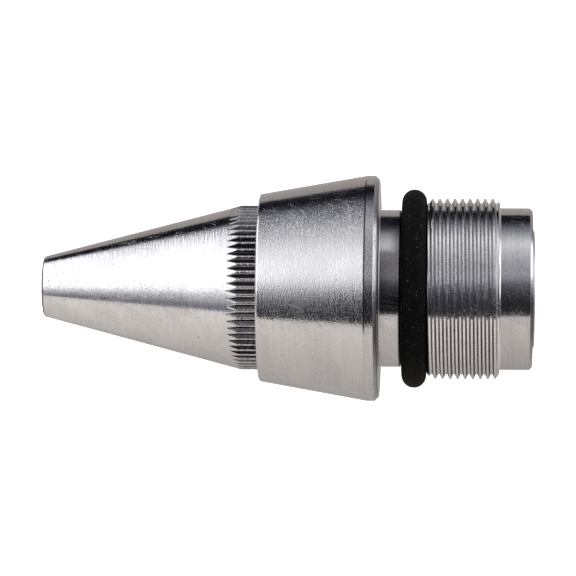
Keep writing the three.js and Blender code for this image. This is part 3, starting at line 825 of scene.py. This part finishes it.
def cage_and_balls(prefix, B, cage_body, axial=False):
    cage = lathe(
        prefix + "_bearing_cage_fine",
        [(B["x"] - B["ch"], B["ci"], 0.1), (B["x"] - B["ch"], B["co"], 0.1), (B["x"] + B["ch"], B["co"], 0.1), (B["x"] + B["ch"], B["ci"], 0.1)],
        cage_body,
        [prefix + "_bearing_cage"],
        "cage_brass",
        144,
        longest=0.8,
    )
    cutters = []
    for k in range(B["n"]):
        t = (k + 0.5) / B["n"] * 2 * PI
        centre = (B["x"], B["pitch"] * math.cos(t), B["pitch"] * math.sin(t))
        cutters.append(drill([(-2.6, 0), (-2.6, B["pocket"]), (2.6, B["pocket"]), (2.6, 0)], centre, t, not axial))
        ball_mesh(f"{prefix}_bearing_ball_{k + 1}_fine", centre, B["ball"], cage_body, f"{prefix}_bearing_ball_{k + 1}")
    boolean_cut(cage, cutters)
    paint(cage, "cage_brass")


ball_bearing("front", FRONT, "front_cage")
ball_bearing("rear", REAR, "rear_cage")
cage_and_balls("thrust", THRUST, "thrust_cage", True)

# wave washer
wcols = 192
wt = np.arange(wcols) * (2 * PI / wcols)
wave = 13.65 + 0.2 * np.cos(3 * wt)
section = rounded([(-0.15, 6.0, 0.05), (-0.15, 7.8, 0.05), (0.15, 7.8, 0.05), (0.15, 6.0, 0.05)], True, 3)
grid = revolve_grid(np.array([wave + sx for sx, sr in section]), np.array([np.full(wcols, sr) for sx, sr in section]), True)
washer = link_mesh("preload_wave_washer_fine", grid, "housing", ["preload_wave_washer"])
paint(washer, "spring_steel")


# retaining ring and lock nut: extruded outlines
def extruded(name, outline, holes, x0, x1, body, node, slot, bevel=0.06):
    curve = bpy.data.curves.new(name, "CURVE")
    curve.dimensions, curve.fill_mode = "2D", "BOTH"
    for loop_points in [outline, *holes]:
        spline = curve.splines.new("POLY")
        spline.points.add(len(loop_points) - 1)
        for p, (u, v) in zip(spline.points, loop_points):
            p.co = (u * MM, v * MM, 0.0, 1.0)
        spline.use_cyclic_u = True
    curve.extrude = (x1 - x0) / 2 * MM - bevel * MM
    curve.bevel_depth = bevel * MM
    curve.bevel_resolution = 2
    curve.offset = -bevel * MM
    made = bpy.data.objects.new(name + "_curve", curve)
    bpy.context.scene.collection.objects.link(made)
    bpy.context.view_layer.update()
    dg = bpy.context.evaluated_depsgraph_get()
    mesh = bpy.data.meshes.new_from_object(made.evaluated_get(dg), depsgraph=dg)
    bpy.data.objects.remove(made)
    mesh.name = name
    # the outline's u, v become Y, Z, and its depth becomes X
    mesh.transform(Matrix(((0, 0, 1, 0), (1, 0, 0, 0), (0, 1, 0, 0), (0, 0, 0, 1))))
    mesh.transform(Matrix.Translation(((x0 + x1) / 2 * MM, 0, 0)))
    bm = bmesh.new()
    bm.from_mesh(mesh)
    bmesh.ops.remove_doubles(bm, verts=bm.verts, dist=1e-7)
    bmesh.ops.recalc_face_normals(bm, faces=bm.faces)
    bm.to_mesh(mesh)
    bm.free()
    smooth(mesh, 35.0)
    obj = bpy.data.objects.new(name, mesh)
    bpy.context.scene.collection.objects.link(obj)
    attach(obj, body)
    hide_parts(node)
    paint(obj, slot)
    return obj


def circle(cx, cy, radius, count):
    return [(cx + radius * math.cos(2 * PI * k / count), cy + radius * math.sin(2 * PI * k / count)) for k in range(count)]


def polar(radius, angle):
    return (radius * math.cos(angle), radius * math.sin(angle))


a0, a1, lug = 0.2, 2 * PI - 0.2, 0.24
outline = [polar(11.45, a0 + (a1 - a0) * k / 160) for k in range(161)]
outline += [polar(7.5 + 0.25, a1), polar(7.5, a1 - 0.04), polar(7.5, a1 - lug + 0.04), polar(7.8, a1 - lug - 0.01), polar(9.0, a1 - lug - 0.05)]
outline += [polar(9.3, a0 + lug + 0.12 + (a1 - a0 - 2 * lug - 0.24) * (1 - k / 140)) for k in range(141)]
outline += [polar(9.0, a0 + lug + 0.05), polar(7.8, a0 + lug + 0.01), polar(7.5, a0 + lug - 0.04), polar(7.5, a0 + 0.04), polar(7.5 + 0.25, a0)]
extruded(
    "front_retaining_ring_fine",
    outline,
    [circle(*polar(8.4, t), 0.6, 28) for t in (a0 + lug / 2 + 0.01, a1 - lug / 2 - 0.01)],
    -12.6,
    -11.6,
    "housing",
    "front_retaining_ring",
    "spring_steel",
)
corner = 8.0 / math.sqrt(3)
extruded(
    "lock_nut_fine",
    [polar(corner - 0.02, k * PI / 3) for k in range(6)],
    [circle(0, 0, 2.56, 96)],
    13.85,
    16.55,
    "spindle",
    "lock_nut",
    "fastener_steel",
    0.12,
)

# ------------------------------------------------------------------ floor and light
FLOOR_Z = -0.075


def floor_material():
    """Pale paper to the camera. What the metal reflects of it is a painted glow: a painted pool of light brightest at
    the front left, dimmed by painted shadow and falloff from in front of the object to the back.
    """
    m = bpy.data.materials.new("floor")
    m.use_nodes = True
    m.node_tree.nodes.clear()
    g = Graph(m.node_tree)
    out = g.node("ShaderNodeOutputMaterial")
    paper = g.node("ShaderNodeBsdfPrincipled")
    paper.inputs["Base Color"].default_value = (0.80, 0.79, 0.78, 1)
    paper.inputs["Roughness"].default_value = 0.9
    paper.inputs["Specular IOR Level"].default_value = 0.0
    paper.inputs["Emission Color"].default_value = (1.0, 0.99, 0.98, 1)
    paper.inputs["Emission Strength"].default_value = 0.6
    place = g.node("ShaderNodeSeparateXYZ")
    g.link(g.node("ShaderNodeTexCoord").outputs["Object"], place.inputs[0])
    x, y = place.outputs[0], place.outputs[1]
    spread = g.math("DIVIDE", g.mul(g.add(x, 0.010), -1.0), g.math("SQRT", g.add(g.mul(y, y), FLOOR_Z * FLOOR_Z)))
    across = g.add(g.ramp(spread, 0.30, 0.70, 0.0, 0.23, smooth=False), g.ramp(spread, -0.40, 0.30, 0.86, 1.0, smooth=False))
    across = g.mul(across, g.ramp(spread, -1.9, -0.8, 0.25, 1.0, smooth=False))
    # painted shadow and falloff: the glow steps down from in front of the object to just behind it, and stays dim to
    # the back
    near = None
    for y0, y1, drop in ((-0.20, -0.11, 0.06), (-0.11, -0.04, 0.12), (-0.04, 0.012, 0.18), (0.012, 0.034, 0.17)):
        step = g.ramp(y, y0, y1, 0.0, drop, smooth=False)
        near = step if near is None else g.add(near, step)
    level = g.mul(across, g.math("SUBTRACT", 1.03, near))
    warm = g.node("ShaderNodeCombineColor")
    for i, k in enumerate((1.075, 1.0, 0.955)):
        g.link(g.mul(level, k), warm.inputs[i])
    # the painted glow, which rays other than the camera's see in place of the paper
    painted_floor_glow = g.node("ShaderNodeEmission")
    g.link(warm.outputs[0], painted_floor_glow.inputs[0])
    either = g.node("ShaderNodeMixShader")
    g.link(g.node("ShaderNodeLightPath").outputs["Is Camera Ray"], either.inputs[0])
    g.t.links.new(painted_floor_glow.outputs[0], either.inputs[1])
    g.t.links.new(paper.outputs[0], either.inputs[2])
    g.t.links.new(either.outputs[0], out.inputs[0])
    return m


def stage_mesh(name, verts, faces, material):
    mesh = bpy.data.meshes.new(name)
    mesh.from_pydata(verts, [], faces)
    mesh.update()
    obj = bpy.data.objects.new(name, mesh)
    bpy.context.scene.collection.objects.link(obj)
    obj.data.materials.append(material)
    return obj


# the floor is a sheet that curves up behind, as a paper sweep does
profile = [(-0.80, FLOOR_Z), (0.95, FLOOR_Z), (1.15, FLOOR_Z + 0.03), (1.28, FLOOR_Z + 0.12), (1.34, FLOOR_Z + 0.26), (1.36, FLOOR_Z + 0.47)]
fv = [(sx * 1.9, py, pz) for py, pz in profile for sx in (-1, 1)]
ff = [(2 * k, 2 * k + 1, 2 * k + 3, 2 * k + 2) for k in range(len(profile) - 1)]
floor = stage_mesh("floor", fv, ff, floor_material())

world = bpy.data.worlds.new("studio")
world.use_nodes = True
bpy.context.scene.world = world
wt_ = world.node_tree
wt_.nodes.clear()
g = Graph(wt_)
out = g.node("ShaderNodeOutputWorld")
bg = g.node("ShaderNodeBackground")
tc = g.node("ShaderNodeTexCoord")
sep = g.node("ShaderNodeSeparateXYZ")
g.link(tc.outputs["Generated"], sep.inputs[0])
dx, dy, dz = sep.outputs
# elevation measured over the top, from the front horizon (0) through overhead (90) to the back horizon (180)
over = g.mul(g.math("ARCTAN2", dz, g.mul(dy, -1.0)), 180 / PI)
# angle to the left of the plane square to the spindle
left = g.mul(g.math("ARCSINE", g.mul(dx, -1.0)), 180 / PI)
# Light level over the top, at six angles to the left: a soft fill far right, a strip overhead, a dark gap behind, and a
# large softbox on the left that comes lower at the front.
LIGHTS = (
    (-20.0, ((0, 0.22), (20, 0.36), (40, 0.62), (60, 0.86), (90, 1.10), (120, 0.95), (145, 0.62), (160, 0.45), (170, 0.25))),
    (-6.0, ((0, 0.0), (20, 0.0), (28, 0.05), (35, 0.17), (42, 0.38), (48, 0.49), (66, 0.55), (78, 0.76), (90, 1.06), (98, 1.26), (103, 1.22), (114, 0.75), (122, 0.46), (132, 0.19), (140, 0.04), (150, 0.0), (170, 0.03))),
    (4.0, ((0, 0.03), (20, 0.03), (29, 0.06), (36, 0.15), (42, 0.34), (48, 0.46), (66, 0.50), (78, 0.74), (90, 0.95), (99, 1.08), (105, 1.05), (114, 0.77), (122, 0.45), (132, 0.23), (140, 0.07), (150, 0.0), (170, 0.04))),
    (14.0, ((0, 0.0), (12, 0.0), (24, 0.06), (34, 0.45), (44, 1.10), (54, 1.22), (66, 1.17), (78, 1.00), (90, 0.74), (100, 0.56), (108, 0.42), (114, 0.25), (120, 0.13), (132, 0.07), (150, 0.01), (170, 0.03))),
    (23.5, ((0, 0.0), (10, 0.0), (19, 0.03), (28, 0.27), (34, 0.74), (42, 1.50), (50, 1.84), (60, 1.93), (70, 1.74), (82, 1.46), (92, 1.10), (104, 0.80), (118, 0.60), (128, 0.54), (138, 0.46), (143, 0.10), (148, 0.0), (170, 0.03))),
    (29.0, ((0, 0.36), (4, 0.46), (9, 0.72), (17, 1.15), (25, 1.80), (33, 2.5), (42, 2.7), (100, 2.7), (118, 3.0), (126, 3.4), (134, 4.0), (140, 3.4), (145, 0.3), (148, 0.0), (170, 0.03))),
)
TOP = 5.0
levels = []
for angle, stops in LIGHTS:
    ramp = g.node("ShaderNodeValToRGB")
    ramp.color_ramp.interpolation = "CARDINAL"
    g.link(g.math("DIVIDE", over, 180.0), ramp.inputs[0])
    elements = ramp.color_ramp.elements
    while len(elements) > 1:
        elements.remove(elements[0])
    for k, (degrees, value) in enumerate(stops):
        element = elements[0] if k == 0 else elements.new(degrees / 180)
        element.position = degrees / 180
        element.color = (value / TOP, value / TOP, value / TOP, 1)
    levels.append(g.mul(ramp.outputs[0], TOP))
level = levels[0]
for k in range(1, len(LIGHTS)):
    t = g.ramp(left, LIGHTS[k - 1][0], LIGHTS[k][0], smooth=False)
    level = g.add(g.mul(level, g.math("SUBTRACT", 1.0, t)), g.mul(levels[k], t))
# the softbox wraps round the left end, and a second one stands on the right
wrap = g.ramp(left, 46, 60)
level = g.add(g.mul(level, g.math("SUBTRACT", 1.0, wrap)), g.mul(wrap, g.mul(g.ramp(over, 5, 30, 0.1, 1.15), g.ramp(over, 174, 150))))
side = g.ramp(left, -48, -60)
edge = g.mul(g.ramp(left, -36, -48), g.mul(g.ramp(over, 12, 48), g.ramp(over, 128, 100)))
second = g.math("MAXIMUM", g.mul(edge, 0.6), g.mul(side, g.mul(g.ramp(over, -2, 12), g.ramp(over, 172, 160))))
level = g.add(g.add(level, g.mul(second, 1.9)), 0.004)
cool = g.node("ShaderNodeCombineColor")
g.link(g.mul(level, 0.985), cool.inputs[0])
g.link(g.mul(level, 0.985), cool.inputs[1])
g.link(g.math("MAXIMUM", g.mul(g.math("POWER", level, 0.90), 1.02), g.mul(level, 1.03)), cool.inputs[2])
# the camera sees pale paper past the edge of the sheet
seen = g.node("ShaderNodeBackground")
seen.inputs["Color"].default_value = (1.0, 0.99, 0.98, 1)
seen.inputs["Strength"].default_value = 1.05
sight = g.node("ShaderNodeMixShader")
g.link(g.node("ShaderNodeLightPath").outputs["Is Camera Ray"], sight.inputs[0])
g.link(cool.outputs[0], bg.inputs["Color"])
bg.inputs["Strength"].default_value = 1.0
g.t.links.new(bg.outputs[0], sight.inputs[1])
g.t.links.new(seen.outputs[0], sight.inputs[2])
g.t.links.new(sight.outputs[0], out.inputs[0])
